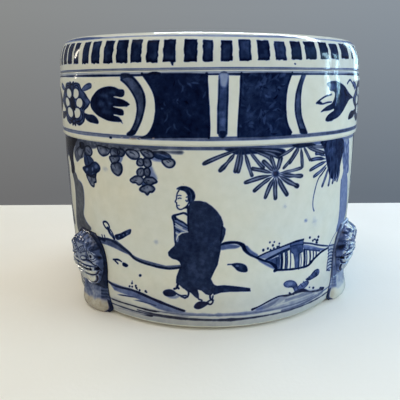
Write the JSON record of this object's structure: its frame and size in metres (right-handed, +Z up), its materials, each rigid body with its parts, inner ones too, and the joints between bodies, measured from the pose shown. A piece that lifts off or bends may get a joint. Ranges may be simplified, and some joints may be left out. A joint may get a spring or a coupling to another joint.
{
  "type": "tripod incense burner",
  "caption": "Cylindrical porcelain incense burner with a rolled rim, a painted collar, an open top and lion-mask feet.",
  "frame": {"origin": "on the vessel's axis, in the plane of the table that the soles stand on", "axes": "+Z up along the vessel's axis; -Y is the front, between the two front feet; the third foot is on +Y"},
  "size_m": [0.215, 0.2218, 0.1773],
  "materials": {
    "striped_glaze": "clear glaze over white porcelain with dark cobalt strokes round the shoulder; the lip and the inside are matt biscuit",
    "banded_glaze": "clear glaze over a cobalt-painted band of flower panels and dark diaper grounds",
    "painted_glaze": "greyish-white glaze over a cobalt-painted landscape",
    "biscuit": "unglazed fired porcelain body",
    "washed_glaze": "glaze over a cobalt wash, thinning to bare cream porcelain at the soles",
    "cobalt_glaze": "glaze over dark cobalt, breaking paler on raised curls, brows and lips"
  },
  "bodies": {
    "root": {"rim_lip": "striped_glaze", "collar_band": "banded_glaze", "body_wall": "painted_glaze", "base_slab": "biscuit", "foot_left_leg": "washed_glaze", "foot_left_mask": "cobalt_glaze", "foot_right_leg": "washed_glaze", "foot_right_mask": "cobalt_glaze", "foot_rear_leg": "washed_glaze", "foot_rear_mask": "cobalt_glaze"}
  },
  "joints": []
}
